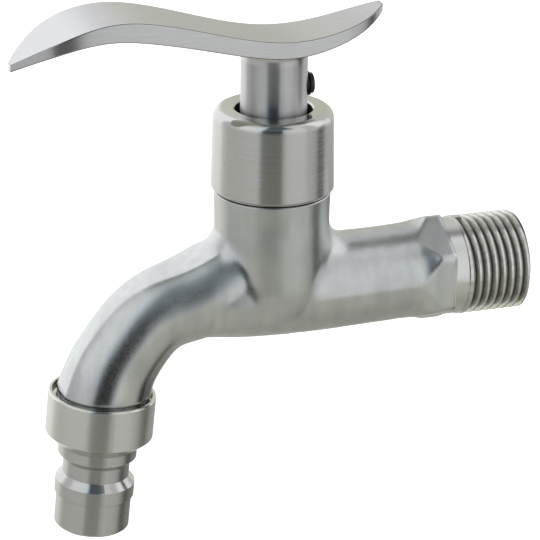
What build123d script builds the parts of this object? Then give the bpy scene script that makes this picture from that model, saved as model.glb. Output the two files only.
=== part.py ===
from build123d import *
from build123d.topology import SkipClean
import math
import os

# Wall-mounted bib tap, in millimetres.
# The origin is the centre of the inlet thread's free end. +Y runs out of the tap into the wall,
# +Z points up along the spindle, and X = 0 is the plane of symmetry.

# Inlet: G 1/2 pipe thread, collar, hexagonal flare and pipe, all on the Y axis
inlet_thread_dia = 20.955
inlet_thread_pitch = 1.814
inlet_thread_depth = 1.162
inlet_thread_crest = 0.5
inlet_thread_length = 14.1
inlet_thread_root = 0.25
inlet_thread_chamfer = 0.45
inlet_thread_phase = 11.0
inlet_thread_runout = 0.452
inlet_groove_rise = 0.1
inlet_bore_dia = 14.5
collar_dia = 20.4
collar_length = 3.0
hex_across_flats = 20.3
hex_land = 3.2
hex_corner_radius = 1.2
hex_back_chamfer = 0.4
flare_length = 4.9
pipe_dia = 20.1
run_middle_dia = 20.2
run_middle_drop = 0.3
run_barrel_width = 21.0
run_barrel_height = 20.0
run_barrel_drop = 0.35
run_end_dia = 16.6
run_end_drop = 0.6
run_end_length = 17.0
bonnet_reach = 54.5

# Barrel: the upright tube of the casting, on the bonnet axis
barrel_dia = 23.6
barrel_top_dia = 23.8
barrel_top = 21.2
barrel_taper_start = 13.5
barrel_ball_height = 2.1
barrel_edge = 0.2
pipe_fillet = 5.0
seam_margin = 0.2
spout_fillet = 3.0
spout_blend_start = 3.0
spout_blend_end = 15.0
spout_blend_bottom = -1.0

# Waterway and seat inside the casting
chamber_top = 12.6
seat_floor = 2.5
port_dia = 9.2
inlet_wall = 1.8
passage_end = 4.5
spout_bore_dia = 12.4
spout_mouth_dia = 9.6
spout_mouth_y = -7.6
spout_mouth_z = 5.0
spout_throat_dia = 11.2
spout_throat_y = -13.0
spout_throat_z = 1.3
spout_throat_fall = 24.0

# Spout: concave sweep under the bonnet, then a bend down to the outlet
sweep_radius = 6.5
sweep_centre_y = -18.1
sweep_centre_z = 14.9
sweep_end_angle = 71.0
sweep_sections = 4
sweep_start_radius = 8.6
sweep_end_radius = 9.3
sweep_start_band = 4.2
sweep_end_band = 4.9
band_crown = 0.3
outlet_y = -36.1
outlet_z = -19.3
outlet_tilt = 5.4
outlet_radius = 9.6
outlet_band = 3.6

# Sections of the spout's bend: how far forward and down each one lies, as a share of the way from
# the sweep's end to the outlet, its fall in degrees, its radius and the half width of its band
bend_forward_shares = (0.25, 0.44, 0.635, 0.805, 0.92)
bend_down_shares = (0.10, 0.17, 0.325, 0.565, 0.79)
bend_fall_degrees = (15.7, 25.0, 43.0, 58.0, 68.0)
bend_radii = (8.9, 8.65, 8.7, 8.85, 9.2)
bend_bands = (4.5, 3.8, 3.2, 3.0, 3.2)
spigot_length = 5.6

# Threads of the headwork, of the union and of the sleeve, as rings
thread_flat = 0.125
joint_thread_dia = 20.0
joint_thread_pitch = 1.5
joint_thread_depth = 0.85
barrel_thread_turns = 5
barrel_counterbore = 0.9
barrel_counterbore_dia = 20.4
housing_thread_turns = 4
spigot_thread_turns = 3
sleeve_thread_dia = 18.0
sleeve_thread_pitch = 1.0
sleeve_thread_depth = 0.6
sleeve_thread_turns = 5
thread_relief = 0.6
thread_clearance = 0.08

# Union nut and nozzle, measured down the outlet axis from the nut's rim
nut_dia = 22.24
nut_cylinder = 8.8
nut_length = 11.25
nut_rim_bore = 20.7
nut_rim_depth = 0.9
nut_edge = 0.25
nut_relief_dia = 19.4
nut_cone_end = 0.15
nut_lip_clearance = 0.1
union_washer_height = 1.8
union_washer_dia = 18.0
union_washer_bore = 11.2
flange_dia = 17.9
flange_height = 1.8
nozzle_shoulder_dia = 16.3
nozzle_shoulder_end = 13.6
nozzle_neck_dia = 13.8
nozzle_neck_start = 14.9
nozzle_neck_end = 18.0
ridge_dia = 16.54
ridge_start = 19.5
ridge_end = 22.4
hose_end_dia = 15.62
nozzle_end = 29.8
nozzle_end_chamfer = 0.5
nozzle_bore_dia = 10.0
strainer_dia = 13.8
strainer_height = 0.8
strainer_hole = 1.0
strainer_hole_pitch = 1.5
strainer_rim = 1.2
strainer_clearance = 0.05

# Bonnet sleeve
sleeve_gap = 0.35
sleeve_bottom_dia = 25.1
sleeve_top_dia = 24.5
sleeve_top = 38.6
sleeve_fillet = 2.0
sleeve_foot_chamfer = 0.65
sleeve_hole_dia = 15.7
sleeve_cavity_dia = 22.6
sleeve_hole_chamfer = 0.3

# Headwork: housing, gasket, seal, discs and spindle
gasket_height = 0.8
gasket_bore_dia = 20.2
housing_collar_dia = 22.0
housing_collar_height = 1.4
housing_hex_across_flats = 18.4
housing_hex_top = 27.5
housing_nose_dia = 12.4
housing_top = 33.4
cage_dia = 16.4
cage_foot = 0.5
disc_bore_dia = 14.0
window_width = 9.0
window_bottom = 6.9
window_top = 10.3
seal_height = 2.4
seal_dia = 14.8
seal_bore_dia = 9.4
support_ring_dia = 10.6
support_ring_bore = 9.2
support_ring_foot = 0.8
disc_height = 2.2
disc_clearance = 0.06
disc_port_inner = 1.6
disc_port_outer = 4.6
disc_port_angle = 80.0
tang_height = 4.4
tang_width = 12.4
tang_thickness = 3.6
tang_engagement = 0.8
tang_clearance = 0.06
spindle_flange_dia = 13.4
spindle_flange_height = 1.0
friction_washer_height = 0.7
friction_washer_dia = 13.6
spindle_dia = 8.1
running_clearance = 0.05
o_ring_section = 1.2
o_ring_gap = 0.03
o_ring_groove_play = 0.02
o_ring_groove_width = 1.5
o_ring_lower = 17.0
o_ring_upper = 21.5
clip_gap = 0.1
clip_height = 0.7
clip_dia = 10.0
clip_groove_dia = 6.6
clip_opening = 60.0
clip_clearance = 0.02

# Handle: neck, spline, grub screw and lever
neck_dia = 13.48
neck_bottom = 35.0
neck_top = 51.9
spline_dia = 7.8
spline_depth = 0.45
spline_teeth = 20
spline_shares = (0.0, 0.3, 0.5, 0.8)
spline_clearance = 0.06
spline_top = 46.5
spline_end_gap = 0.5
screw_dia = 5.0
screw_pitch = 0.8
screw_thread_depth = 0.4
screw_turns = 4
screw_end = 0.4
screw_height = 43.0
screw_stand_out = 1.25
screw_clearance = 0.06
screw_socket = 2.5
screw_socket_depth = 1.6
neck_flare = 2.2
lever_top_curve = [
    (-53.6, 51.9), (-46.0, 57.1), (-38.0, 59.95), (-33.0, 60.45), (-26.0, 59.65),
    (-14.0, 56.6), (2.0, 53.75), (10.0, 54.5), (22.3, 58.6),
]
lever_bottom_curve = [
    (22.3, 57.2), (10.0, 51.6), (2.0, 50.4), (-14.0, 52.95), (-26.0, 55.7),
    (-36.0, 56.8), (-46.0, 54.7), (-53.6, 50.5),
]
lever_side_curve = [
    (1.0, -53.6), (4.8, -50.0), (7.5, -45.5), (8.4, -37.0), (7.9, -24.0), (7.0, -6.0),
    (6.9, 2.0), (6.3, 10.0), (4.4, 18.0), (1.2, 22.3),
]

# Heights that follow from the stack in the chamber
disc_face = seal_height + disc_height
moving_disc_top = disc_face + disc_height
tang_bottom = moving_disc_top - tang_engagement
spindle_flange_bottom = tang_bottom + tang_height
friction_washer_bottom = spindle_flange_bottom + spindle_flange_height
housing_shoulder = friction_washer_bottom + friction_washer_height
housing_collar_bottom = barrel_top + gasket_height
union_flange_top = spigot_length + union_washer_height
union_flange_bottom = union_flange_top + flange_height


def tube(bottom, top, outer, inner=0.0):
    """Upright tube on the Z axis, from its two heights and two diameters."""
    wall = Cylinder(outer / 2, top - bottom, align=(Align.CENTER, Align.CENTER, Align.MIN))
    if inner > 0:
        wall -= Cylinder(inner / 2, top - bottom, align=(Align.CENTER, Align.CENTER, Align.MIN))
    return Pos(0, 0, bottom) * wall


def turned(points):
    """Solid turned about the Z axis from (radius, height) points."""
    return revolve(Plane.XZ * make_face(Polyline(*points, close=True)), Axis.Z)


def ring_thread(dia, pitch, depth, bottom, turns, below, above, growth=0.0):
    """Threaded rod on the Z axis with ring-shaped turns, and plain root stretches below and above.

    Growth widens the rod into the cutter for the bore that it screws into.
    """
    crest = dia / 2 + growth
    root = crest - depth
    half_crest = thread_flat * pitch / 2 + growth / 2
    half_root = (1 - thread_flat) * pitch / 2 + growth / 2
    points = [(0, bottom - below), (root, bottom - below)]
    for turn in range(turns):
        middle = bottom + (turn + 0.5) * pitch
        points.append((root, middle - half_root))
        points.append((crest, middle - half_crest))
        points.append((crest, middle + half_crest))
        points.append((root, middle + half_root))
    top = bottom + turns * pitch + above
    points.append((root, top))
    points.append((0, top))
    return turned(points)


def at_bonnet(shape):
    """Move a shape drawn about the Z axis onto the bonnet axis."""
    return Pos(0, -bonnet_reach, 0) * shape


def at_outlet(shape):
    """Move a shape drawn about the Z axis, hanging down from 0, onto the outlet axis."""
    return Pos(0, outlet_y - bonnet_reach, outlet_z) * Rot(-outlet_tilt, 0, 0) * shape


def band_section(y, z, fall, radius, half_band, crown):
    """Section of the spout: a circle whose outer side is a flatter band with a slight crown.

    The spout runs towards -Y and falls by the given angle. Heights and lengths are measured
    from the point where the bonnet axis meets the inlet axis.
    """
    run = (0, -math.cos(math.radians(fall)), -math.sin(math.radians(fall)))
    rise = math.sqrt(radius**2 - half_band**2)
    band = ThreePointArc((-half_band, rise), (0, rise + crown), (half_band, rise))
    round_side = ThreePointArc((half_band, rise), (0, -radius), (-half_band, rise))
    return Plane(origin=(0, y, z), x_dir=(1, 0, 0), z_dir=run) * make_face([band, round_side])


def spout_stations():
    """Length, height, fall, radius, half band and crown of each spout section."""
    stations = []
    for step in range(sweep_sections):
        share = step / (sweep_sections - 1)
        turn = math.radians(sweep_end_angle * share)
        radius = sweep_start_radius + (sweep_end_radius - sweep_start_radius) * share
        half_band = sweep_start_band + (sweep_end_band - sweep_start_band) * share
        rise = math.sqrt(radius**2 - half_band**2)
        crown = (radius - rise) * (1 - share) + band_crown * share
        reach = sweep_radius + crown + rise
        y = sweep_centre_y + reach * math.cos(turn)
        z = sweep_centre_z - reach * math.sin(turn)
        stations.append((y, z, 90 - sweep_end_angle * share, radius, half_band, crown))
    places = zip(bend_forward_shares, bend_down_shares)
    shapes = zip(bend_fall_degrees, bend_radii, bend_bands)
    for (forward, down), shape in zip(places, shapes):
        stations.append((y + (outlet_y - y) * forward, z + (outlet_z - z) * down, *shape, band_crown))
    outlet = (outlet_y, outlet_z, 90 - outlet_tilt, outlet_radius, outlet_band, band_crown)
    stations.append(outlet)
    return stations


def flare_start():
    """Where the pipe begins to widen into the hexagon, on the Y axis."""
    return -inlet_thread_length - collar_length - hex_land - flare_length


def inlet_outside():
    """Flare, hexagon and collar, turned about the Y axis, without the thread."""
    corner = hex_across_flats / 2 / math.cos(math.radians(30))
    pipe = pipe_dia / 2
    hex_back = -inlet_thread_length - collar_length
    hex_front = hex_back - hex_land
    start = flare_start()
    bend = (flare_length**2 + (corner - pipe)**2) / 2 / (corner - pipe)
    half = math.asin(flare_length / bend) / 2
    middle = (pipe + bend * (1 - math.cos(half)), start + bend * math.sin(half))
    outline = [
        Line((0, start), (pipe, start)),
        ThreePointArc((pipe, start), middle, (corner, hex_front)),
        Line((corner, hex_front), (corner, hex_back - hex_back_chamfer)),
        Line((corner, hex_back - hex_back_chamfer), (corner - hex_back_chamfer, hex_back)),
        Line((corner - hex_back_chamfer, hex_back), (0, hex_back)),
        Line((0, hex_back), (0, start)),
    ]
    flare = revolve(make_face(outline), Axis.Y)
    hexagon = RegularPolygon(hex_across_flats / 2, 6, major_radius=False, rotation=30)
    hexagon = Plane.XZ * fillet(hexagon.vertices(), hex_corner_radius)
    flare &= Pos(0, hex_back, 0) * extrude(hexagon, hex_land + flare_length)
    collar = extrude(Plane.XZ * Circle(collar_dia / 2), collar_length)
    return Pos(0, -inlet_thread_length, 0) * collar + flare


def run_outside():
    """Pipe from the flare through the barrel, widest there, and on under the spout."""
    start = flare_start()
    rings = [
        (start, 0, pipe_dia, pipe_dia),
        ((start - bonnet_reach) / 2, run_middle_drop, run_middle_dia, run_middle_dia),
        (-bonnet_reach, run_barrel_drop, run_barrel_width, run_barrel_height),
        (-bonnet_reach - run_end_length, run_end_drop, run_end_dia, run_end_dia),
    ]
    sections = []
    for y, drop, width, height in rings:
        plane = Plane(origin=(0, y, -drop), x_dir=(1, 0, 0), z_dir=(0, -1, 0))
        sections.append(plane * Ellipse(width / 2, height / 2))
    return loft(sections)


def barrel_outside():
    """Barrel with its tapered top and its ball-shaped bottom, on the bonnet axis."""
    radius = barrel_dia / 2
    top = barrel_top_dia / 2
    outline = [
        Line((0, barrel_top), (top - barrel_edge, barrel_top)),
        Line((top - barrel_edge, barrel_top), (top, barrel_top - barrel_edge)),
        Line((top, barrel_top - barrel_edge), (radius, barrel_taper_start)),
        Line((radius, barrel_taper_start), (radius, barrel_ball_height)),
        RadiusArc((radius, barrel_ball_height), (0, barrel_ball_height - radius), radius),
        Line((0, barrel_ball_height - radius), (0, barrel_top)),
    ]
    return revolve(Plane.XZ * make_face(outline), Axis.Z)


def spout_outside():
    """Spout from inside the barrel to the outlet, lofted through its sections."""
    return loft([band_section(*station) for station in spout_stations()])


def edges_between(shape, low, high):
    """Edges of a shape inside the box between two corners, placed from the bonnet axis."""
    picked = []
    for edge in shape.edges():
        box = edge.bounding_box()
        lower = (box.min.X, box.min.Y + bonnet_reach, box.min.Z)
        upper = (box.max.X, box.max.Y + bonnet_reach, box.max.Z)
        if all(a >= b for a, b in zip(lower, low)) and all(a <= b for a, b in zip(upper, high)):
            picked.append(edge)
    return picked


def casting_outside():
    """Outside of the casting with its blends, without the threads."""
    front = barrel_dia / 2 + seam_margin
    side = barrel_dia / 2 - seam_margin
    outside = run_outside() + at_bonnet(barrel_outside())
    seams = edges_between(outside, (-side, -front, -front), (side, front, chamber_top))
    outside = fillet(seams, pipe_fillet)
    outside += inlet_outside()
    outside += at_bonnet(spout_outside())
    low = (-side, -spout_blend_end, spout_blend_bottom)
    high = (side, -spout_blend_start, barrel_taper_start)
    around = edges_between(outside, low, high)
    flanks = [edge for edge in around if abs(edge.center().X) > sweep_start_band]
    return fillet(flanks, spout_fillet)


def barrel_hollow():
    """Valve chamber, female thread and counterbore of the barrel."""
    bottom = chamber_top
    hollow = ring_thread(
        joint_thread_dia, joint_thread_pitch, joint_thread_depth,
        bottom, barrel_thread_turns, bottom, joint_thread_pitch, thread_clearance,
    )
    counterbore = tube(barrel_top - barrel_counterbore, barrel_top + 1, barrel_counterbore_dia)
    return at_bonnet(hollow + counterbore)


def inlet_hollow():
    """Inlet bore, the passage that carries on under the seat, and the port up through the seat."""
    radius = inlet_bore_dia / 2
    chamber_radius = joint_thread_dia / 2 - joint_thread_depth + thread_clearance
    bore_length = bonnet_reach - chamber_radius - inlet_wall
    bore = extrude(Plane.XZ * Circle(radius), bore_length)
    passage = extrude(Plane.XZ * Circle(radius), bonnet_reach + passage_end)
    below_floor = Pos(0, -bonnet_reach, -seat_floor - radius) * Box(4 * radius, 6 * radius, 2 * radius)
    port = at_bonnet(tube(-2 * seat_floor, 1, port_dia))
    return bore + (passage & below_floor) + port


def spout_hollow():
    """Bore of the spout, from the front of the chamber to the end of the spigot."""
    rings = [
        (spout_mouth_y, spout_mouth_z, 0, spout_mouth_dia),
        (spout_throat_y, spout_throat_z, spout_throat_fall, spout_throat_dia),
    ]
    for y, z, fall, _, _, _ in spout_stations()[sweep_sections:]:
        rings.append((y, z, fall, spout_bore_dia))
    sections = []
    for y, z, fall, dia in rings:
        run = (0, -math.cos(math.radians(fall)), -math.sin(math.radians(fall)))
        sections.append(Plane(origin=(0, y, z), x_dir=(1, 0, 0), z_dir=run) * Circle(dia / 2))
    spigot_bore = tube(-spigot_length - 1, 0, spout_bore_dia)
    return at_bonnet(loft(sections)) + at_outlet(spigot_bore)


def spigot():
    """Threaded end of the spout that the union nut screws onto."""
    thread = ring_thread(
        joint_thread_dia, joint_thread_pitch, joint_thread_depth,
        -spigot_length, spigot_thread_turns, 0, spigot_length - spigot_thread_turns * joint_thread_pitch + 1,
    )
    return at_outlet(thread)


def inlet_groove(phase, start, length):
    """Helical groove of the inlet thread, drawn about the Z axis."""
    radius = inlet_thread_dia / 2
    half_crest_gap = (inlet_thread_pitch - inlet_thread_crest) / 2
    flare = inlet_groove_rise * half_crest_gap / inlet_thread_depth
    helix = Rot(0, 0, phase) * Helix(inlet_thread_pitch, length, radius, center=(0, 0, start))
    first = helix @ 0
    frame = Plane(origin=first, x_dir=Vector(first.X, first.Y, 0).normalized(), z_dir=helix % 0)
    outline = Polyline(
        (inlet_groove_rise, -half_crest_gap - flare),
        (inlet_groove_rise, half_crest_gap + flare),
        (-inlet_thread_depth, inlet_thread_root / 2),
        (-inlet_thread_depth, -inlet_thread_root / 2),
        close=True,
    )
    return sweep(frame * make_face(outline), path=helix, is_frenet=True)


def inlet_thread():
    """Inlet thread along +Y, as four quarters, so that each strip of its crest is short."""
    radius = inlet_thread_dia / 2
    bore = inlet_bore_dia / 2
    length = inlet_thread_length
    blank = turned([
        (bore, 0),
        (radius - inlet_thread_chamfer, 0),
        (radius, inlet_thread_chamfer),
        (radius, length),
        (bore, length),
    ])
    # The groove ends just past a quarter's edge, so that it breaks no strip of the plain end.
    pitch = inlet_thread_pitch
    groove = inlet_groove(inlet_thread_phase, -pitch, length + inlet_thread_runout * pitch)
    threaded = blank - groove
    quarters = []
    for half in split(threaded, bisect_by=Plane.XZ, keep=Keep.BOTH).solids():
        quarters.extend(split(half, bisect_by=Plane.YZ, keep=Keep.BOTH).solids())
    placed = [Rot(90, 0, 0) * quarter for quarter in quarters]
    with SkipClean():
        return placed[0].fuse(*placed[1:])


def body():
    """Casting with its waterway, its spigot and its inlet thread."""
    casting = casting_outside() + spigot()
    casting = casting - barrel_hollow() - inlet_hollow() - spout_hollow()
    thread = inlet_thread()
    with SkipClean():
        return thread.fuse(*casting.solids())


def seat_seal():
    """Rubber seal between the chamber floor and the fixed disc, an L in section."""
    outer = seal_dia / 2
    inner = seal_bore_dia / 2
    step = support_ring_dia / 2
    return at_bonnet(turned([
        (inner, 0),
        (outer, 0),
        (outer, seal_height),
        (step, seal_height),
        (step, support_ring_foot),
        (inner, support_ring_foot),
    ]))


def seal_support_ring():
    """Stiff ring that holds the seal's bore open."""
    return at_bonnet(tube(support_ring_foot, seal_height, support_ring_dia, support_ring_bore))


def disc_port(middle):
    """Outline of a sector port in a disc, centred on the given angle."""
    half = disc_port_angle / 2
    start = math.radians(middle - half)
    end = math.radians(middle + half)
    inner = disc_port_inner
    outer = disc_port_outer
    return make_face([
        CenterArc((0, 0), inner, middle - half, disc_port_angle),
        CenterArc((0, 0), outer, middle - half, disc_port_angle),
        Line(
            (inner * math.cos(start), inner * math.sin(start)),
            (outer * math.cos(start), outer * math.sin(start)),
        ),
        Line(
            (inner * math.cos(end), inner * math.sin(end)),
            (outer * math.cos(end), outer * math.sin(end)),
        ),
    ])


def disc(bottom, port_middle):
    """Ceramic disc with two sector ports, one at the given angle and one opposite."""
    blank = tube(bottom, bottom + disc_height, disc_bore_dia - 2 * disc_clearance)
    for middle in (port_middle, port_middle + 180):
        blank -= Pos(0, 0, bottom) * extrude(disc_port(middle), disc_height)
    return blank


def fixed_disc():
    """Disc that stays still, with its ports in front and behind."""
    return at_bonnet(disc(seal_height, 90))


def moving_disc():
    """Disc that turns with the spindle. Its ports are at the sides while the tap is shut."""
    slot = Box(tang_thickness + 2 * tang_clearance, disc_bore_dia, 2 * tang_engagement)
    return at_bonnet(disc(disc_face, 0) - Pos(0, 0, moving_disc_top) * slot)


def friction_washer():
    """Washer between the spindle's flange and the housing's shoulder."""
    top = friction_washer_bottom + friction_washer_height
    return at_bonnet(tube(
        friction_washer_bottom, top, friction_washer_dia, spindle_dia + 2 * running_clearance
    ))


def headwork_gasket():
    """Flat gasket on the barrel's rim, under the housing's collar."""
    return at_bonnet(tube(barrel_top, housing_collar_bottom, housing_collar_dia, gasket_bore_dia))


def headwork_housing():
    """Brass housing: cage round the discs, two threads, collar, hexagon and nose."""
    thread_bottom = chamber_top + joint_thread_pitch
    thread_top = thread_bottom + housing_thread_turns * joint_thread_pitch
    housing = tube(cage_foot, thread_bottom, cage_dia)
    housing += ring_thread(
        joint_thread_dia, joint_thread_pitch, joint_thread_depth,
        thread_bottom, housing_thread_turns, thread_relief, housing_collar_bottom - thread_top,
    )
    collar_top = housing_collar_bottom + housing_collar_height
    housing += tube(housing_collar_bottom, collar_top, housing_collar_dia)
    hexagon = RegularPolygon(housing_hex_across_flats / 2, 6, major_radius=False)
    housing += Pos(0, 0, collar_top) * extrude(hexagon, housing_hex_top - collar_top)
    housing += ring_thread(
        sleeve_thread_dia, sleeve_thread_pitch, sleeve_thread_depth,
        housing_hex_top, sleeve_thread_turns, 0, 0,
    )
    housing += tube(housing_hex_top, housing_top, housing_nose_dia)
    housing -= tube(cage_foot - 1, seal_height, seal_dia + 2 * running_clearance)
    housing -= tube(seal_height, housing_shoulder, disc_bore_dia)
    housing -= tube(housing_shoulder, housing_top + 1, spindle_dia + 2 * running_clearance)
    window_height = window_top - window_bottom
    window = Box(2 * cage_dia, window_width, window_height)
    housing -= Pos(0, 0, window_bottom + window_height / 2) * window
    return at_bonnet(housing)


def bonnet_sleeve():
    """Sleeve that is screwed onto the housing and covers the headwork."""
    bottom = barrel_top + sleeve_gap
    low = sleeve_bottom_dia / 2
    high = sleeve_top_dia / 2
    hole = sleeve_hole_dia / 2
    shoulder = sleeve_top - sleeve_fillet
    outline = [
        Line((0, bottom), (low - sleeve_foot_chamfer, bottom)),
        Line((low - sleeve_foot_chamfer, bottom), (low, bottom + sleeve_foot_chamfer)),
        Line((low, bottom + sleeve_foot_chamfer), (high, shoulder)),
        CenterArc((high - sleeve_fillet, shoulder), sleeve_fillet, 0, 90),
        Line((high - sleeve_fillet, sleeve_top), (0, sleeve_top)),
        Line((0, sleeve_top), (0, bottom)),
    ]
    sleeve = revolve(Plane.XZ * make_face(outline), Axis.Z)
    sleeve -= tube(bottom - 1, housing_hex_top, sleeve_cavity_dia)
    sleeve -= ring_thread(
        sleeve_thread_dia, sleeve_thread_pitch, sleeve_thread_depth,
        housing_hex_top, sleeve_thread_turns, 0, thread_relief, thread_clearance,
    )
    sleeve -= turned([
        (0, housing_hex_top),
        (hole, housing_hex_top),
        (hole, sleeve_top - sleeve_hole_chamfer),
        (hole + sleeve_hole_chamfer, sleeve_top),
        (0, sleeve_top),
    ])
    return at_bonnet(sleeve)


def spline(dia, bottom, top):
    """Splined bar on the Z axis, with its diameter over the teeth."""
    crest = dia / 2
    root = crest - spline_depth
    corners = []
    for tooth in range(spline_teeth):
        for share, radius in zip(spline_shares, (crest, crest, root, root)):
            turn = 2 * math.pi * (tooth + share) / spline_teeth
            corners.append((radius * math.cos(turn), radius * math.sin(turn)))
    return Pos(0, 0, bottom) * extrude(make_face(Polyline(*corners, close=True)), top - bottom)


def o_ring_inner_radius():
    """Inner radius of an O-ring that stays just short of the housing's bore."""
    return spindle_dia / 2 + running_clearance - o_ring_gap - o_ring_section


def spindle():
    """Spindle: tang, flange, shaft with its grooves, and splined head."""
    flange_top = spindle_flange_bottom + spindle_flange_height
    clip_bottom = housing_top + clip_gap
    clip_top = clip_bottom + clip_height
    shaft_top = (clip_top + neck_bottom) / 2
    tang = Pos(0, 0, tang_bottom + tang_height / 2) * Box(tang_thickness, tang_width, tang_height)
    shaft = tang + tube(spindle_flange_bottom, flange_top, spindle_flange_dia)
    shaft += tube(flange_top, shaft_top, spindle_dia)
    shaft += spline(spline_dia, shaft_top, spline_top)
    groove_dia = 2 * (o_ring_inner_radius() - o_ring_groove_play)
    for middle in (o_ring_lower, o_ring_upper):
        low = middle - o_ring_groove_width / 2
        shaft -= tube(low, low + o_ring_groove_width, 2 * spindle_dia, groove_dia)
    shaft -= tube(clip_bottom, clip_top, 2 * spindle_dia, clip_groove_dia)
    return at_bonnet(shaft)


def o_ring(middle):
    """O-ring in a groove of the spindle, at the given height."""
    ring = Torus(o_ring_inner_radius() + o_ring_section / 2, o_ring_section / 2)
    return at_bonnet(Pos(0, 0, middle) * ring)


def lower_o_ring():
    """O-ring in the lower groove."""
    return o_ring(o_ring_lower)


def upper_o_ring():
    """O-ring in the upper groove."""
    return o_ring(o_ring_upper)


def spindle_clip():
    """Open clip in the spindle's groove, which holds the spindle down in the housing."""
    bottom = housing_top + clip_gap
    ring = tube(bottom, bottom + clip_height, clip_dia, clip_groove_dia + 2 * clip_clearance)
    reach = clip_dia
    half = math.radians(clip_opening / 2)
    corner = (-reach * math.cos(half), reach * math.sin(half))
    opening = make_face(Polyline((0, 0), corner, (corner[0], -corner[1]), close=True))
    return at_bonnet(ring - Pos(0, 0, bottom) * extrude(opening, clip_height))


def lever_plan():
    """Outline of the lever seen from above."""
    side = Spline(*lever_side_curve)
    front = lever_side_curve[0]
    back = lever_side_curve[-1]
    return make_face([
        side,
        Spline(*[(-x, y) for x, y in lever_side_curve]),
        Line(front, (-front[0], front[1])),
        Line(back, (-back[0], back[1])),
    ])


def lever_side():
    """Outline of the lever seen from the side."""
    top = Spline(*lever_top_curve)
    bottom = Spline(*lever_bottom_curve)
    return Plane.YZ * make_face([
        top,
        bottom,
        Line(lever_top_curve[-1], lever_bottom_curve[0]),
        Line(lever_bottom_curve[-1], lever_top_curve[0]),
    ])


def grub_screw_place(shape):
    """Move a shape drawn about the Z axis, with its inner end at 0, into the handle's neck."""
    length = 2 * screw_end + screw_turns * screw_pitch
    tip = neck_dia / 2 + screw_stand_out - length
    return at_bonnet(Pos(0, tip, screw_height) * Rot(-90, 0, 0) * shape)


def screw_thread(below, growth=0.0):
    """Turns of the grub screw, or with growth the cutter for its hole."""
    return ring_thread(
        screw_dia, screw_pitch, screw_thread_depth,
        screw_end, screw_turns, below, screw_end, growth,
    )


def grub_screw():
    """Grub screw that locks the handle on the spline, with a hexagon socket."""
    length = 2 * screw_end + screw_turns * screw_pitch
    socket = extrude(RegularPolygon(screw_socket / 2, 6, major_radius=False), screw_socket_depth)
    screw = screw_thread(screw_end) - Pos(0, 0, length - screw_socket_depth) * socket
    return grub_screw_place(screw)


def handle():
    """Handle: lever and neck in one piece, with the splined bore and the grub screw's hole."""
    radius = neck_dia / 2
    plan = extrude(lever_plan(), neck_top + radius + neck_flare)
    lever = extrude(lever_side(), radius + neck_flare, both=True) & plan
    outline = [
        Line((0, neck_bottom), (radius, neck_bottom)),
        Line((radius, neck_bottom), (radius, neck_top - neck_flare)),
        CenterArc((radius + neck_flare, neck_top - neck_flare), neck_flare, 90, 90),
        Line((radius + neck_flare, neck_top), (0, neck_top)),
        Line((0, neck_top), (0, neck_bottom)),
    ]
    neck = revolve(Plane.XZ * make_face(outline), Axis.Z) & plan
    bore = spline(spline_dia + 2 * spline_clearance, neck_bottom, spline_top + spline_end_gap)
    return at_bonnet(lever + neck - bore) - grub_screw_place(screw_thread(1, screw_clearance))


def outlet_nut():
    """Union nut: threaded inside, with a lip that holds the nozzle's flange."""
    radius = nut_dia / 2
    lip_hole = nozzle_shoulder_dia / 2 + nut_lip_clearance
    nut = turned([
        (0, -nut_length),
        (lip_hole + nut_cone_end, -nut_length),
        (radius, -nut_cylinder),
        (radius, -nut_edge),
        (radius - nut_edge, 0),
        (0, 0),
    ])
    nut -= tube(-nut_rim_depth, 1, nut_rim_bore)
    plain_top = spigot_length - spigot_thread_turns * joint_thread_pitch
    nut -= ring_thread(
        joint_thread_dia, joint_thread_pitch, joint_thread_depth,
        -spigot_length, spigot_thread_turns, union_washer_height, plain_top, thread_clearance,
    )
    nut -= tube(-union_flange_bottom, -spigot_length, nut_relief_dia)
    nut -= tube(-nut_length - 1, 0, 2 * lip_hole)
    return at_outlet(nut)


def nozzle_washer():
    """Flat washer between the spigot's end and the nozzle's flange."""
    return at_outlet(tube(-union_flange_top, -spigot_length, union_washer_dia, union_washer_bore))


def nozzle():
    """Hose nozzle: flange, shoulder, neck, ridge and hose end, turned about the outlet axis."""
    end = hose_end_dia / 2
    outline = turned([
        (0, -nozzle_end),
        (end - nozzle_end_chamfer, -nozzle_end),
        (end, -nozzle_end + nozzle_end_chamfer),
        (end, -ridge_end),
        (ridge_dia / 2, -ridge_end),
        (ridge_dia / 2, -ridge_start),
        (nozzle_neck_dia / 2, -nozzle_neck_end),
        (nozzle_neck_dia / 2, -nozzle_neck_start),
        (nozzle_shoulder_dia / 2, -nozzle_shoulder_end),
        (nozzle_shoulder_dia / 2, -union_flange_bottom),
        (flange_dia / 2, -union_flange_bottom),
        (flange_dia / 2, -union_flange_top),
        (0, -union_flange_top),
    ])
    outline -= tube(-nozzle_end, -union_flange_top, nozzle_bore_dia)
    recess_dia = strainer_dia + 2 * strainer_clearance
    outline -= tube(-union_flange_top - strainer_height, -union_flange_top, recess_dia)
    return at_outlet(outline)


def strainer_screen():
    """Perforated screen in the top of the nozzle."""
    bottom = -union_flange_top - strainer_height
    open_radius = strainer_dia / 2 - strainer_rim
    reach = int(open_radius / strainer_hole_pitch)
    holes = []
    for column in range(-reach, reach + 1):
        for row in range(-reach, reach + 1):
            place = (column * strainer_hole_pitch, row * strainer_hole_pitch)
            if math.hypot(*place) + strainer_hole / 2 <= open_radius:
                holes.append(Pos(*place) * Circle(strainer_hole / 2))
    sheet = Circle(strainer_dia / 2) - holes
    return at_outlet(Pos(0, 0, bottom) * extrude(sheet, strainer_height))


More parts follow.
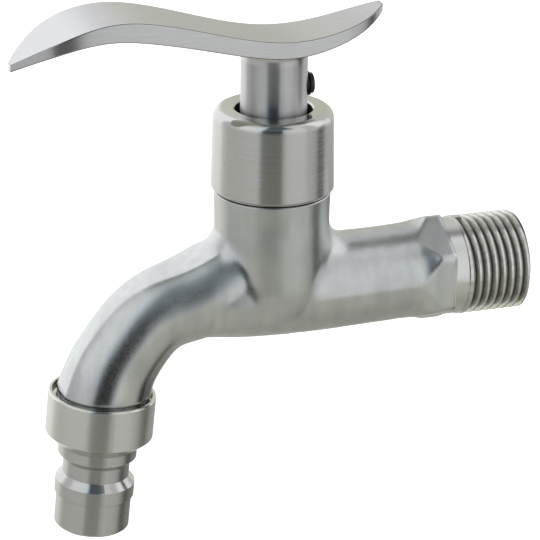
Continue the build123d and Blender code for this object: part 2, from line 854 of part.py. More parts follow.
nodes = [
    body,
    bonnet_sleeve,
    headwork_housing,
    headwork_gasket,
    spindle,
    upper_o_ring,
    lower_o_ring,
    spindle_clip,
    friction_washer,
    moving_disc,
    fixed_disc,
    seat_seal,
    seal_support_ring,
    handle,
    grub_screw,
    outlet_nut,
    nozzle_washer,
    nozzle,
    strainer_screen,
]

os.makedirs("parts", exist_ok=True)
for node in nodes:
    export_step(node(), f"parts/{node.__name__}.step")
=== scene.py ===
"""A wall-mounted bib tap in stainless steel, dressed and lit for a studio picture.

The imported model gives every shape. Each section below takes one piece of the tap, or
a few that are alike, and gives it the finish that its real material has.
"""
import math

import bmesh
import bpy
from mathutils import Matrix, Quaternion, Vector


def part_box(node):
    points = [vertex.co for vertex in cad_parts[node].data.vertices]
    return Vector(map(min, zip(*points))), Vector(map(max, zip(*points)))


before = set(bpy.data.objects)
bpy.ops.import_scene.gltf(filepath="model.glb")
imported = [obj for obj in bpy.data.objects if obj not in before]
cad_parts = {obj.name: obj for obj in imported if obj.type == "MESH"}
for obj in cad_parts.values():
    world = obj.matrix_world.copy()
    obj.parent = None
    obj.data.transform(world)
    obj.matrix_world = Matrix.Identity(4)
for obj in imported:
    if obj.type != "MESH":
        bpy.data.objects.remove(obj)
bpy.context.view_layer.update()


# The cast body
# One lost-wax casting in stainless steel: inlet, barrel and spout. It is ground,
# blasted with fine grit and wiped with a soft abrasive, so it has a satin skin.
# Only the inlet thread and the collar behind it are cut on a lathe afterwards.

MM = 0.001


def colour(code):
    """The linear colour of an sRGB hex value such as "A0A0A0"."""
    shares = [int(code[i : i + 2], 16) / 255 for i in (0, 2, 4)]
    linear = [s / 12.92 if s <= 0.04045 else ((s + 0.055) / 1.055) ** 2.4 for s in shares]
    return (*linear, 1.0)


def add(material, kind, inputs, **settings):
    """Adds one node. Each input, by name or place, gets a value or another node's output."""
    node = material.node_tree.nodes.new(kind)
    for name, value in settings.items():
        setattr(node, name, value)
    for place, value in inputs.items():
        socket = node.inputs[place]
        if isinstance(value, bpy.types.NodeSocket):
            material.node_tree.links.new(value, socket)
        else:
            socket.default_value = value
    return node


def empty_material(name):
    """A material with no nodes yet."""
    material = bpy.data.materials.new(name)
    material.use_nodes = True
    material.node_tree.nodes.clear()
    return material


def dress(node_name, material):
    """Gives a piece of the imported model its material, in the slot that it has."""
    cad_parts[node_name].material_slots[0].material = material


# Nearly every value of a noise texture lies between these two.
NOISE_LOW = 0.3
NOISE_HIGH = 0.7

# Satin cast stainless: pale grey metal, faintly warm, with soft and wide reflections.
CAST_LIGHT = colour("CFD1CE")
CAST_DARK = colour("C1C3C2")
CAST_SMOOTH = 0.28
CAST_ROUGH = 0.35
CAST_RELIEF = 0.005 * MM
GRIT = 0.5 * MM  # blast grit leaves marks of about 0.1 mm, drawn coarser so that they show
WIPE = 0.7 * MM  # the strokes of the abrasive, also drawn coarser
WIPE_SHARE = 0.4  # how deep the strokes are beside the grit's marks
MOTTLE = 9 * MM
RUN = 2.2 * MM
UPRIGHT_SCALE = 0.07  # strokes and runs are about 14 times as high as they are wide
STAIN_DARK = 0.14
STAIN_CLEAN = 0.36

# The spout is rubbed smoother from one height down to the other.
RUB_START = -3 * MM
RUB_END = -18 * MM
RUBBED = 0.7

# Grinding and blasting leave every inside corner soft. The barrel's rim is faced on the
# lathe and stays crisp.
CAST_BLEND = 1.4 * MM
CORNER_SAMPLES = 12
BARREL_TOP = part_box("body")[1][2]
RIM_EDGE = 0.15 * MM
RIM_DEPTH = 1.2 * MM
RIM_FADE = 0.5 * MM

# Lathe-cut thread: brighter than the cast skin on its crests, and darker in its grooves.
THREAD_LIGHT = colour("D8D8D3")
THREAD_DARK = colour("8A877E")
THREAD_ROUGHNESS = 0.26
THREAD_EDGE = 0.05 * MM
THREAD_ROOT = 9.3 * MM
THREAD_CREST = 10.1 * MM
THREAD_END = -14.1 * MM
COLLAR_END = -17.2 * MM
CUT_FADE = 0.3 * MM
FLECK = 1.2 * MM
FLECK_WORN = 0.38
FLECK_CLEAN = 0.6
WORN_SHARE = 0.74

satin_cast = empty_material("satin_cast_stainless")
place = add(satin_cast, "ShaderNodeTexCoord", {}).outputs["Object"]
places = add(satin_cast, "ShaderNodeSeparateXYZ", {"Vector": place})

# The skin's relief is the grit's marks with the strokes of the abrasive over them.
grit = add(
    satin_cast,
    "ShaderNodeTexNoise",
    {"Vector": place, "Scale": 1 / GRIT, "Detail": 2.0},
)
along = add(
    satin_cast,
    "ShaderNodeMapping",
    {"Vector": place, "Scale": (1.0, 1.0, UPRIGHT_SCALE)},
)
wipe = add(
    satin_cast,
    "ShaderNodeTexNoise",
    {"Vector": along.outputs[0], "Scale": 1 / WIPE},
)
skin = add(
    satin_cast,
    "ShaderNodeMath",
    {0: wipe.outputs["Fac"], 1: WIPE_SHARE, 2: grit.outputs["Fac"]},
    operation="MULTIPLY_ADD",
)

# Handling and polish leave faint upright runs on the skin, a few millimetres apart.
mottle = add(
    satin_cast,
    "ShaderNodeTexNoise",
    {"Vector": place, "Scale": 1 / MOTTLE, "Detail": 3.0},
)
runs = add(
    satin_cast,
    "ShaderNodeTexNoise",
    {"Vector": along.outputs[0], "Scale": 1 / RUN, "Detail": 4.0},
)
stain = add(
    satin_cast,
    "ShaderNodeMath",
    {0: runs.outputs["Fac"], 1: mottle.outputs["Fac"]},
    operation="MULTIPLY",
)
stained = add(
    satin_cast,
    "ShaderNodeMapRange",
    {"Value": stain.outputs[0], "From Min": STAIN_DARK, "From Max": STAIN_CLEAN},
)
cast_colour = add(
    satin_cast,
    "ShaderNodeMix",
    {"Factor": stained.outputs[0], 6: CAST_DARK, 7: CAST_LIGHT},
    data_type="RGBA",
)

# The grit's marks are rougher than what lies between them. Hands and cloths rub the
# spout smoother towards its end.
cast_roughness = add(
    satin_cast,
    "ShaderNodeMapRange",
    {
        "Value": grit.outputs["Fac"],
        "From Min": NOISE_LOW,
        "From Max": NOISE_HIGH,
        "To Min": CAST_SMOOTH,
        "To Max": CAST_ROUGH,
    },
)
rubbed = add(
    satin_cast,
    "ShaderNodeMapRange",
    {
        "Value": places.outputs["Z"],
        "From Min": RUB_START,
        "From Max": RUB_END,
        "To Min": 1.0,
        "To Max": RUBBED,
    },
)
rubbed_roughness = add(
    satin_cast,
    "ShaderNodeMath",
    {0: cast_roughness.outputs[0], 1: rubbed.outputs[0]},
    operation="MULTIPLY",
)

# How far out from the inlet's axis a point is tells a crest from a groove.
across = add(
    satin_cast,
    "ShaderNodeMapping",
    {"Vector": place, "Scale": (1.0, 0.0, 1.0)},
)
radius = add(satin_cast, "ShaderNodeVectorMath", {0: across.outputs[0]}, operation="LENGTH")
crest = add(
    satin_cast,
    "ShaderNodeMapRange",
    {"Value": radius.outputs["Value"], "From Min": THREAD_ROOT, "From Max": THREAD_CREST},
)

# Cutting and handling have dulled the crests in patches. The collar behind them is clean.
dulling = add(
    satin_cast,
    "ShaderNodeMapRange",
    {
        "Value": places.outputs["Y"],
        "From Min": THREAD_END - CUT_FADE,
        "From Max": THREAD_END,
        "To Min": 1.0,
        "To Max": WORN_SHARE,
    },
)
fleck = add(
    satin_cast,
    "ShaderNodeTexNoise",
    {"Vector": place, "Scale": 1 / FLECK, "Detail": 5.0},
)
worn = add(
    satin_cast,
    "ShaderNodeMapRange",
    {
        "Value": fleck.outputs["Fac"],
        "From Min": FLECK_WORN,
        "From Max": FLECK_CLEAN,
        "To Min": dulling.outputs[0],
        "To Max": 1.0,
    },
)
bright_crest = add(
    satin_cast,
    "ShaderNodeMath",
    {0: crest.outputs[0], 1: worn.outputs[0]},
    operation="MULTIPLY",
)
thread_colour = add(
    satin_cast,
    "ShaderNodeMix",
    {"Factor": bright_crest.outputs[0], 6: THREAD_DARK, 7: THREAD_LIGHT},
    data_type="RGBA",
)

# From the collar to the inlet's end the skin is cut on the lathe, and elsewhere cast.
cut = add(
    satin_cast,
    "ShaderNodeMapRange",
    {
        "Value": places.outputs["Y"],
        "From Min": COLLAR_END - CUT_FADE,
        "From Max": COLLAR_END,
    },
)
body_colour = add(
    satin_cast,
    "ShaderNodeMix",
    {"Factor": cut.outputs[0], 6: cast_colour.outputs[2], 7: thread_colour.outputs[2]},
    data_type="RGBA",
)
body_roughness = add(
    satin_cast,
    "ShaderNodeMix",
    {"Factor": cut.outputs[0], 2: rubbed_roughness.outputs[0], 3: THREAD_ROUGHNESS},
)
rim = add(
    satin_cast,
    "ShaderNodeMapRange",
    {
        "Value": places.outputs["Z"],
        "From Min": BARREL_TOP - RIM_DEPTH - RIM_FADE,
        "From Max": BARREL_TOP - RIM_DEPTH,
    },
)
ground_corner = add(
    satin_cast,
    "ShaderNodeMix",
    {"Factor": rim.outputs[0], 2: CAST_BLEND, 3: RIM_EDGE},
)
corner = add(
    satin_cast,
    "ShaderNodeMix",
    {"Factor": cut.outputs[0], 2: ground_corner.outputs[0], 3: THREAD_EDGE},
)
soft_corner = add(
    satin_cast,
    "ShaderNodeBevel",
    {"Radius": corner.outputs[0]},
    samples=CORNER_SAMPLES,
)
cast_bump = add(
    satin_cast,
    "ShaderNodeBump",
    {"Height": skin.outputs[0], "Distance": CAST_RELIEF, "Normal": soft_corner.outputs[0]},
)
cast_steel = add(
    satin_cast,
    "ShaderNodeBsdfPrincipled",
    {
        "Base Color": body_colour.outputs[2],
        "Metallic": 1.0,
        "Roughness": body_roughness.outputs[0],
        "Normal": cast_bump.outputs[0],
    },
)
add(satin_cast, "ShaderNodeOutputMaterial", {"Surface": cast_steel.outputs[0]})
dress("body", satin_cast)


# The inside pieces
# Seals, discs and the brass headwork that carries them, dropped into the barrel and
# screwed down. They are plain stock materials, moulded, pressed or turned.

GRAIN_SPREAD = 0.06  # how far the roughness strays, up and down, over a grain


def plain_finish(name, base, fleck, grain, metallic, roughness, relief):
    """A material whose colour, roughness and relief follow one fine grain."""
    material = empty_material(name)
    where = add(material, "ShaderNodeTexCoord", {}).outputs["Object"]
    speck = add(
        material,
        "ShaderNodeTexNoise",
        {"Vector": where, "Scale": 1 / grain, "Detail": 4.0},
    )
    mixed = add(
        material,
        "ShaderNodeMix",
        {"Factor": speck.outputs["Fac"], 6: colour(base), 7: colour(fleck)},
        data_type="RGBA",
    )
    dull = add(
        material,
        "ShaderNodeMapRange",
        {
            "Value": speck.outputs["Fac"],
            "To Min": roughness - GRAIN_SPREAD,
            "To Max": roughness + GRAIN_SPREAD,
        },
    )
    bump = add(
        material,
        "ShaderNodeBump",
        {"Height": speck.outputs["Fac"], "Distance": relief},
    )
    shader = add(
        material,
        "ShaderNodeBsdfPrincipled",
        {
            "Base Color": mixed.outputs[2],
            "Metallic": metallic,
            "Roughness": dull.outputs[0],
            "Normal": bump.outputs[0],
        },
    )
    add(material, "ShaderNodeOutputMaterial", {"Surface": shader.outputs[0]})
    return material


# Nitrile rubber: black, with the dull bloom of a moulded seal.
nitrile_rubber = plain_finish(
    "moulded_nitrile_rubber",
    base="1A1A1B",
    fleck="242425",
    grain=0.8 * MM,
    metallic=0.0,
    roughness=0.62,
    relief=0.01 * MM,
)
for seal in ("seat_seal", "lower_o_ring", "upper_o_ring", "nozzle_washer"):
    dress(seal, nitrile_rubber)

# Acetal: milky white and slightly slippery to look at.
acetal = plain_finish(
    "moulded_white_acetal",
    base="DEDCD4",
    fleck="D2CFC6",
    grain=1.5 * MM,
    metallic=0.0,
    roughness=0.38,
    relief=0.005 * MM,
)
for washer in ("seal_support_ring", "friction_washer"):
    dress(washer, acetal)

# Pressed fibre board: red-brown, with the fleck of its short fibres.
fibre_board = plain_finish(
    "pressed_red_fibre",
    base="7A3B2C",
    fleck="5E2C22",
    grain=0.5 * MM,
    metallic=0.0,
    roughness=0.8,
    relief=0.02 * MM,
)
dress("headwork_gasket", fibre_board)

# Lapped alumina: white ceramic, ground flat and then polished.
alumina = plain_finish(
    "lapped_white_alumina",
    base="E8E6E1",
    fleck="DEDBD4",
    grain=0.7 * MM,
    metallic=0.0,
    roughness=0.16,
    relief=0.001 * MM,
)
for disc in ("fixed_disc", "moving_disc"):
    dress(disc, alumina)

# Turned brass: warm yellow, bright and a little dulled by handling.
turned_brass = plain_finish(
    "turned_brass",
    base="D9BC7A",
    fleck="C4A562",
    grain=0.6 * MM,
    metallic=1.0,
    roughness=0.3,
    relief=0.004 * MM,
)
dress("headwork_housing", turned_brass)

# Ground stainless bar: the spindle, plain and bright, with soft reflections.
ground_bar = plain_finish(
    "ground_stainless_bar",
    base="C9C9C5",
    fleck="B8B9B6",
    grain=0.5 * MM,
    metallic=1.0,
    roughness=0.24,
    relief=0.003 * MM,
)
dress("spindle", ground_bar)

# Dark spring steel: the clip on the spindle, tempered to a deep grey.
spring_steel = plain_finish(
    "dark_spring_steel",
    base="6E6E6C",
    fleck="5A5A5B",
    grain=0.4 * MM,
    metallic=1.0,
    roughness=0.36,
    relief=0.004 * MM,
)
dress("spindle_clip", spring_steel)


# The bonnet sleeve
# A cap turned from stainless bar, screwed over the barrel's top and then held against
# an abrasive belt while it spun. Fine rings run round it, so a reflection is smeared
# up and down and stays sharp from side to side.

RING = 0.25 * MM  # belt marks are about 0.05 mm apart, drawn coarser so that they show
RING_DRIFT = 12.0  # how often in a metre a ring changes as it goes round
RING_SPREAD = 0.04  # how far the roughness strays, up and down, from ring to ring
QUARTER_TURN = 0.25  # turns the smear from round the piece to along its axis
# Painted shade for the bore, where little light gets in, and the width it fades in over.
BORE_SHADE = "3C3B37"
BORE_SHADE_FADE = 0.1 * MM
EDGE = 0.15 * MM  # the round that deburring leaves on a turned edge
EDGE_SAMPLES = 16

# Shoulders and bevels are polished after the belt. There the surface faces partly along
# the axis, by the first share where the polish starts and by the second where it is full.
SLOPE_START = 0.15
SLOPE_END = 0.45
POLISHED_ROUGHNESS = 0.12


def lathe_finish(name, centre, tilt, light, dark, roughness, relief, inside):
    """Stainless turned about an axis through centre, tilted about X, with rings round it.

    Nearer to the axis than inside, the bore gets a painted shade, as dark as the shade
    down a hole. End faces and bevels are kept out of that painted shade also there.
    """
    material = empty_material(name)
    where = add(material, "ShaderNodeTexCoord", {}).outputs["Object"]
    to_axis = add(
        material,
        "ShaderNodeMapping",
        {"Vector": where, "Location": centre, "Rotation": (tilt, 0.0, 0.0)},
        vector_type="TEXTURE",
    )
    flat = add(
        material,
        "ShaderNodeMapping",
        {"Vector": to_axis.outputs[0], "Scale": (1.0, 1.0, 0.0)},
    )
    out = add(material, "ShaderNodeVectorMath", {0: flat.outputs[0]}, operation="LENGTH")

    # The rings go up the sides and on across the end faces.
    split = add(material, "ShaderNodeSeparateXYZ", {"Vector": to_axis.outputs[0]})
    travel = add(
        material,
        "ShaderNodeMath",
        {0: split.outputs["Z"], 1: out.outputs["Value"]},
        operation="SUBTRACT",
    )
    wrap = add(
        material,
        "ShaderNodeCombineXYZ",
        {"X": split.outputs["X"], "Y": split.outputs["Y"], "Z": travel.outputs[0]},
    )
    rings = add(
        material,
        "ShaderNodeMapping",
        {"Vector": wrap.outputs[0], "Scale": (RING_DRIFT, RING_DRIFT, 1 / RING)},
    )
    lines = add(
        material,
        "ShaderNodeTexNoise",
        {"Vector": rings.outputs[0], "Scale": 1.0, "Detail": 3.0},
    )
    mixed = add(
        material,
        "ShaderNodeMix",
        {"Factor": lines.outputs["Fac"], 6: colour(dark), 7: colour(light)},
        data_type="RGBA",
    )

    facing = add(material, "ShaderNodeTexCoord", {}).outputs["Normal"]
    slope = add(material, "ShaderNodeSeparateXYZ", {"Vector": facing})
    steep = add(material, "ShaderNodeMath", {0: slope.outputs["Z"]}, operation="ABSOLUTE")
    polished = add(
        material,
        "ShaderNodeMapRange",
        {"Value": steep.outputs[0], "From Min": SLOPE_START, "From Max": SLOPE_END},
    )
    # Painted shade: the bore nearer the axis than inside is darkened, but not its end faces and
    # bevels.
    outer = add(
        material,
        "ShaderNodeMapRange",
        {"Value": out.outputs["Value"], "From Min": inside, "From Max": inside + BORE_SHADE_FADE},
    )
    bright = add(
        material,
        "ShaderNodeMath",
        {0: outer.outputs[0], 1: polished.outputs[0]},
        operation="MAXIMUM",
    )
    skin = add(
        material,
        "ShaderNodeMix",
        {"Factor": bright.outputs[0], 6: colour(BORE_SHADE), 7: mixed.outputs[2]},
        data_type="RGBA",
    )

    dull = add(
        material,
        "ShaderNodeMapRange",
        {
            "Value": lines.outputs["Fac"],
            "From Min": NOISE_LOW,
            "From Max": NOISE_HIGH,
            "To Min": roughness - RING_SPREAD,
            "To Max": roughness + RING_SPREAD,
        },
    )
    finish = add(
        material,
        "ShaderNodeMix",
        {"Factor": polished.outputs[0], 2: dull.outputs[0], 3: POLISHED_ROUGHNESS},
    )
    edge = add(material, "ShaderNodeBevel", {"Radius": EDGE}, samples=EDGE_SAMPLES)
    bump = add(
        material,
        "ShaderNodeBump",
        {"Height": lines.outputs["Fac"], "Distance": relief, "Normal": edge.outputs[0]},
    )
    tangent = add(material, "ShaderNodeTangent", {}, direction_type="RADIAL", axis="Z")
    shader = add(
        material,
        "ShaderNodeBsdfPrincipled",
        {
            "Base Color": skin.outputs[2],
            "Metallic": 1.0,
            "Roughness": finish.outputs[0],
            "Anisotropic": 1.0,
            "Anisotropic Rotation": QUARTER_TURN,
            "Tangent": tangent.outputs[0],
            "Normal": bump.outputs[0],
        },
    )
    add(material, "ShaderNodeOutputMaterial", {"Surface": shader.outputs[0]})
    return material


BONNET_AXIS = (0.0, -54.5 * MM, 0.0)

# Belt-brushed stainless: faintly green-grey, in crisp upright bands of light and dark.
brushed_sleeve = lathe_finish(
    "belt_brushed_stainless",
    centre=BONNET_AXIS,
    tilt=0.0,
    light="D0D0CB",
    dark="BDBDB8",
    roughness=0.28,
    relief=0.0004 * MM,
    inside=7.9 * MM,
)
dress("bonnet_sleeve", brushed_sleeve)


# The lever handle
# One stainless casting with its neck, pushed on the spindle and held by a grub screw.
# The lever is hand-finished along its length to a fine satin, and the round neck is
# spun against an abrasive, so fine rings run round it.

# Satin lever: neutral grey metal with a soft sheen, finely streaked along the lever.
LEVER_LIGHT = colour("D0CFCE")
LEVER_DARK = colour("C1C1C1")
LEVER_ROUGHNESS = 0.27
LEVER_RELIEF = 0.0035 * MM
LEVER_STROKE = 0.5 * MM  # the strokes of the abrasive, drawn coarser so that they show
LEVER_STROKE_SCALE = (1.0, 0.06, 1.0)  # long along the lever

# A painted dark reflection lies as a grey line along the lever's edges, where the softened edge
# turns the surface. It starts at the first cosine of that turn and is darkest from the second.
LEVER_EDGE = 0.35 * MM
LEVER_CREASE_SHADE = colour("4A4A4B")
CREASE_SHADE_SHARE = 0.75
CREASE_START = 0.995
CREASE_END = 0.9

# Spun neck: the same metal in upright bands of light and dark, smeared up and down and
# sharp from side to side. It fades into the lever above it.
NECK_TOP = 50.3 * MM
NECK_FADE = 1.8 * MM
NECK_ROUGHNESS = 0.36
NECK_STROKE_SCALE = (0.05, 0.05, 2.0)  # long round the neck, and finer up it

satin_lever = empty_material("satin_lever_stainless")
lever_place = add(satin_lever, "ShaderNodeTexCoord", {}).outputs["Object"]
lever_axes = add(satin_lever, "ShaderNodeSeparateXYZ", {"Vector": lever_place})
neck = add(
    satin_lever,
    "ShaderNodeMapRange",
    {
        "Value": lever_axes.outputs["Z"],
        "From Min": NECK_TOP,
        "From Max": NECK_TOP - NECK_FADE,
    },
)
lever_length = add(
    satin_lever,
    "ShaderNodeMapping",
    {"Vector": lever_place, "Scale": LEVER_STROKE_SCALE},
)
lever_strokes = add(
    satin_lever,
    "ShaderNodeTexNoise",
    {"Vector": lever_length.outputs[0], "Scale": 1 / LEVER_STROKE, "Detail": 3.0},
)
neck_rings = add(
    satin_lever,
    "ShaderNodeMapping",
    {"Vector": lever_place, "Scale": NECK_STROKE_SCALE},
)
neck_strokes = add(
    satin_lever,
    "ShaderNodeTexNoise",
    {"Vector": neck_rings.outputs[0], "Scale": 1 / LEVER_STROKE, "Detail": 3.0},
)
strokes = add(
    satin_lever,
    "ShaderNodeMix",
    {"Factor": neck.outputs[0], 2: lever_strokes.outputs["Fac"], 3: neck_strokes.outputs["Fac"]},
)
lever_colour = add(
    satin_lever,
    "ShaderNodeMix",
    {"Factor": strokes.outputs[0], 6: LEVER_LIGHT, 7: LEVER_DARK},
    data_type="RGBA",
)
lever_roughness = add(
    satin_lever,
    "ShaderNodeMix",
    {"Factor": neck.outputs[0], 2: LEVER_ROUGHNESS, 3: NECK_ROUGHNESS},
)
lever_edge = add(satin_lever, "ShaderNodeBevel", {"Radius": LEVER_EDGE}, samples=EDGE_SAMPLES)
lever_face = add(satin_lever, "ShaderNodeNewGeometry", {})
turned_by = add(
    satin_lever,
    "ShaderNodeVectorMath",
    {0: lever_edge.outputs[0], 1: lever_face.outputs["Normal"]},
    operation="DOT_PRODUCT",
)
# Painted dark reflection along the lever's edges, strongest where the softened edge turns most.
crease_shade = add(
    satin_lever,
    "ShaderNodeMapRange",
    {
        "Value": turned_by.outputs["Value"],
        "From Min": CREASE_START,
        "From Max": CREASE_END,
        "To Max": CREASE_SHADE_SHARE,
    },
)
crease_shaded_colour = add(
    satin_lever,
    "ShaderNodeMix",
    {"Factor": crease_shade.outputs[0], 6: lever_colour.outputs[2], 7: LEVER_CREASE_SHADE},
    data_type="RGBA",
)
lever_bump = add(
    satin_lever,
    "ShaderNodeBump",
    {"Height": strokes.outputs[0], "Distance": LEVER_RELIEF, "Normal": lever_edge.outputs[0]},
)

# Only the neck is smeared one way, so how much the metal smears follows the neck.
upright = add(satin_lever, "ShaderNodeCombineXYZ", {"Z": 1.0})
lever_steel = add(
    satin_lever,
    "ShaderNodeBsdfPrincipled",
    {
        "Base Color": crease_shaded_colour.outputs[2],
        "Metallic": 1.0,
        "Roughness": lever_roughness.outputs[0],
        "Anisotropic": neck.outputs[0],
        "Tangent": upright.outputs[0],
        "Normal": lever_bump.outputs[0],
    },
)
add(satin_lever, "ShaderNodeOutputMaterial", {"Surface": lever_steel.outputs[0]})
dress("handle", satin_lever)

# Blackened screw: alloy steel from a hot oxide bath, dark brown-grey with a dull shine.
blackened_steel = plain_finish(
    "blackened_screw_steel",
    base="55534F",
    fleck="34332F",
    grain=0.5 * MM,
    metallic=1.0,
    roughness=0.34,
    relief=0.006 * MM,
)
dress("grub_screw", blackened_steel)


# The outlet
# A union nut, the hose nozzle that its lip holds, and a perforated strainer over the
# nozzle, all of stainless steel. They hang from the spout's end, a little off upright.

OUTLET_AXIS = (0.0, -90.6 * MM, -19.3 * MM)
OUTLET_TILT = math.radians(-5.4)

# Brushed nut: the palest of the turned pieces, with soft rings round it.
brushed_nut = lathe_finish(
    "brushed_nut_stainless",
    centre=OUTLET_AXIS,
    tilt=OUTLET_TILT,
    light="DEDED6",
    dark="D2D2CB",
    roughness=0.38,
    relief=0.0006 * MM,
    inside=10.4 * MM,
)
dress("outlet_nut", brushed_nut)

# Turned nozzle: a little darker and sharper than the nut, and polished on its shoulders.
turned_nozzle = lathe_finish(
    "fine_turned_stainless",
    centre=OUTLET_AXIS,
    tilt=OUTLET_TILT,
    light="CCCCC8",
    dark="BCBCB8",
    roughness=0.3,
    relief=0.0006 * MM,
    inside=5.1 * MM,
)
dress("nozzle", turned_nozzle)

# Punched screen: thin stainless sheet with an even, slightly dull skin.
punched_screen = plain_finish(
    "punched_screen_stainless",
    base="BEBEBB",
    fleck="A4A5A3",
    grain=0.4 * MM,
    metallic=1.0,
    roughness=0.34,
    relief=0.01 * MM,
)
dress("strainer_screen", punched_screen)


# The studio
# A white floor and backdrop, and a light tent close round the tap: white cloth panels,
# a grey table below, and a dark opening in front where the camera looks in. The tent
# doesn't show, so that every view is clear, and the metal reflects it.

# Where the camera stands and aims, fitted to the photograph. The tent hangs round the aim.
EYE = Vector((416.194, -197.255, 180.045)) * MM
AIM = Vector((0.0, -54.7, 3.35)) * MM
ROLL = math.radians(0.92)
FRONT = math.degrees(math.atan2(EYE.y - AIM.y, EYE.x - AIM.x))


def shaped(name, shape, material, shown):
    """Makes a piece of the studio from a bmesh, shown to the camera or not."""
    mesh = bpy.data.meshes.new(name)
    shape.to_mesh(mesh)
    shape.free()
    mesh.materials.append(material)
    made = bpy.data.objects.new(name, mesh)
    made.visible_camera = shown
    bpy.context.scene.collection.objects.link(made)


# White floor paint: it keeps the tap's shadow, and glows for whatever looks straight at
# it, reflects it or sees it through glass, so that it shows as white there.
FLOOR_GLOW = 0.5
FLOOR_DROP = 0.6
FLOOR_REACH = 6.0

white = empty_material("white_floor")
seen = add(white, "ShaderNodeLightPath", {})
shiny = add(
    white,
    "ShaderNodeMath",
    {0: seen.outputs["Is Camera Ray"], 1: seen.outputs["Is Glossy Ray"]},
    operation="MAXIMUM",
)
any_view = add(
    white,
    "ShaderNodeMath",
    {0: shiny.outputs[0], 1: seen.outputs["Is Transmission Ray"]},
    operation="MAXIMUM",
)
strength = add(
    white,
    "ShaderNodeMath",
    {0: any_view.outputs[0], 1: FLOOR_GLOW},
    operation="MULTIPLY",
)
painted = add(white, "ShaderNodeBsdfDiffuse", {"Color": colour("F2F2F2")})
glow = add(white, "ShaderNodeEmission", {"Strength": strength.outputs[0]})
both = add(white, "ShaderNodeAddShader", {0: painted.outputs[0], 1: glow.outputs[0]})
add(white, "ShaderNodeOutputMaterial", {"Surface": both.outputs[0]})

ground = bmesh.new()
below = Matrix.Translation((0.0, 0.0, -FLOOR_DROP))
bmesh.ops.create_grid(ground, x_segments=1, y_segments=1, size=FLOOR_REACH, matrix=below)
shaped("floor", ground, white, True)

# Each panel: azimuth from and to, counted from the front and anticlockwise from above,
# elevation from and to, how many degrees its edge fades over, and its brightness.
# A later panel hangs in front of an earlier one. Left and right are the camera's.
TENT_RADIUS = 0.55
TENT_COLUMNS = 180
TENT_ROWS = 90
TENT_CLOTH = 0.7
PANELS = [
    (-172, -109, -24, 66, 12, 1.28),  # bright cloth, left and back
    (-82, -27, 8, 58, 14, 1.04),  # bright cloth, left and front
    (-95, -27, -24, 8, 12, 0.64),  # grey cloth under it
    (26, 64, -20, 50, 10, 0.92),  # bright cloth, right and front
    (45, 108, 50, 70, 10, 0.86),  # bright cloth, right and high up
    (82, 188, -20, 60, 18, 0.64),  # grey cloth, right and back
    (88, 124, 8, 62, 12, 1.25),  # bright cloth, right
    (124, 170, 2, 60, 14, 0.74),  # pale grey cloth, right and back
    (116, 134, -6, 26, 10, 1.1),  # strip of light between the last two
    (178, 199, 20, 60, 12, 0.85),  # strip of light at the back
    (148, 182, -16, -3, 8, 0.95),  # low strip of light, just over the table
    (118, 262, 60, 78, 10, 0.24),  # shade high up at the back
    (-200, 200, 76, 100, 8, 0.2),  # the tent's dark top
    (112, 165, 58, 80, 8, 0.1),  # deeper shade, right and high up
    (-23, 18, -20, 42, 9, 0.015),  # opening for the lens
    (-23, 18, 24, 44, 12, 0.15),  # its upper part, a little lighter
    (-16, 42, 44, 90, 12, 0.13),  # shade above the opening
    (90, 109, -30, 5, 6, 0.02),  # low black card, right
    (-60, -20, 24, 60, 12, 1.04),  # bright cloth close to the opening, left
]
WARM_PANEL = [(150, 189, -14, 34, 12, 1.0)]  # where the cloth at the back is warm
SHADE_PANEL = [(-30, 28, 4, 90, 14, 1.0)]  # where the shade over the lens is blue

# The table fills everything below its top's elevation, and has panels of its own.
TABLE_TOP = -16
TABLE_FADE = 8
TABLE_GREY = 0.53
TABLE_PATCHES = [
    (-170, -106, -50, -10, 12, 0.9),  # white cloth laid on it, left and back
    (50, 175, -90, -45, 20, 0.43),  # shade, right and under the tap
    (86, 160, -46, -10, 14, 0.17),  # deeper shade, right and back
    (90, 110, -60, -10, 6, 0.02),  # the black card's foot
]

# The cloth is a little cool, the table and the cloth at the back are warm, and the
# shade over the lens is blue.
CLOTH_TINT = Vector((0.985, 1.0, 1.03))
WARM_TINT = Vector((0.99, 1.0, 0.9))
SHADE_TINT = Vector((0.84, 1.0, 1.14))


def fade(value, edge, width):
    """Goes from 0 to 1 over width, with its middle at edge."""
    share = min(1.0, max(0.0, (value - edge) / width + 0.5))
    return share * share * (3 - 2 * share)


def hung(level, azimuth, elevation, panels):
    """The brightness in one direction, once these panels are hung in front of it."""
    for left, right, low, high, soft, bright in panels:
        middle = (left + right) / 2
        off = (azimuth - middle + 180) % 360 - 180
        sideways = fade(off, left - middle, soft) * (1 - fade(off, right - middle, soft))
        upwards = fade(elevation, low, soft) * (1 - fade(elevation, high, soft))
        level += (bright - level) * sideways * upwards
    return level


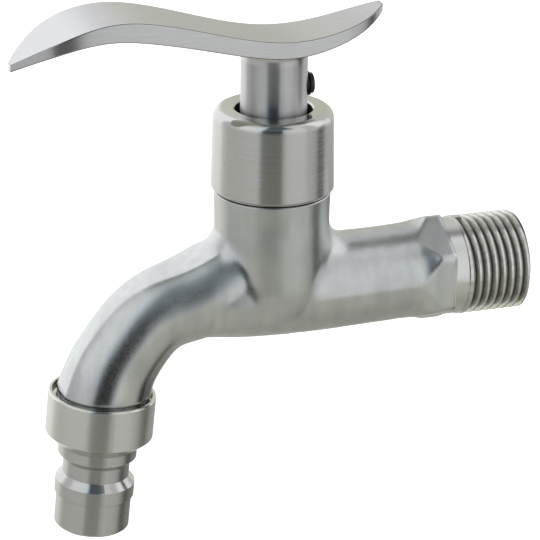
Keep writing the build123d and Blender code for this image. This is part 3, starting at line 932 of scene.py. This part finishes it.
tent_shape = bmesh.new()
bmesh.ops.create_uvsphere(
    tent_shape,
    u_segments=TENT_COLUMNS,
    v_segments=TENT_ROWS,
    radius=TENT_RADIUS,
    matrix=Matrix.Translation(AIM),
)
light = tent_shape.verts.layers.float_color.new("light")
for vert in tent_shape.verts:
    away = vert.co - AIM
    azimuth = math.degrees(math.atan2(away.y, away.x)) - FRONT
    elevation = math.degrees(math.asin(max(-1.0, min(1.0, away.z / TENT_RADIUS))))
    cloth = hung(TENT_CLOTH, azimuth, elevation, PANELS)
    table = hung(TABLE_GREY, azimuth, elevation, TABLE_PATCHES)
    low = 1 - fade(elevation, TABLE_TOP, TABLE_FADE)
    warm = max(low, hung(0.0, azimuth, elevation, WARM_PANEL))
    shade = hung(0.0, azimuth, elevation, SHADE_PANEL) * (1 - low)
    tint = CLOTH_TINT.lerp(WARM_TINT, warm).lerp(SHADE_TINT, shade)
    vert[light] = (*(tint * (cloth + (table - cloth) * low)), 1.0)

# Lit tent cloth: white, with lamps behind it, so the metal mirrors an even glow.
tent_cloth = empty_material("lit_tent_cloth")
hue = add(tent_cloth, "ShaderNodeAttribute", {}, attribute_name="light")
lit = add(tent_cloth, "ShaderNodeEmission", {"Color": hue.outputs["Color"]})
add(tent_cloth, "ShaderNodeOutputMaterial", {"Surface": lit.outputs[0]})
shaped("light_tent", tent_shape, tent_cloth, False)

world = bpy.data.worlds.new("white")
world.use_nodes = True
world.node_tree.nodes["Background"].inputs["Color"].default_value = colour("FFFFFF")
bpy.context.scene.world = world
bpy.context.scene.view_settings.view_transform = "Standard"


# The camera
# A long lens a little above the tap, off its left side, as in the photograph. It is
# rolled by a degree, as the camera was there.

FILM_WIDTH = 36.0
FOCAL_LENGTH = 153.33

lens = bpy.data.cameras.new("camera")
lens.sensor_width = FILM_WIDTH
lens.lens = FOCAL_LENGTH
camera = bpy.data.objects.new("camera", lens)
camera.location = EYE
camera.rotation_mode = "QUATERNION"
camera.rotation_quaternion = (AIM - EYE).to_track_quat("-Z", "Y") @ Quaternion((0, 0, 1), ROLL)
bpy.context.scene.collection.objects.link(camera)
bpy.context.scene.camera = camera
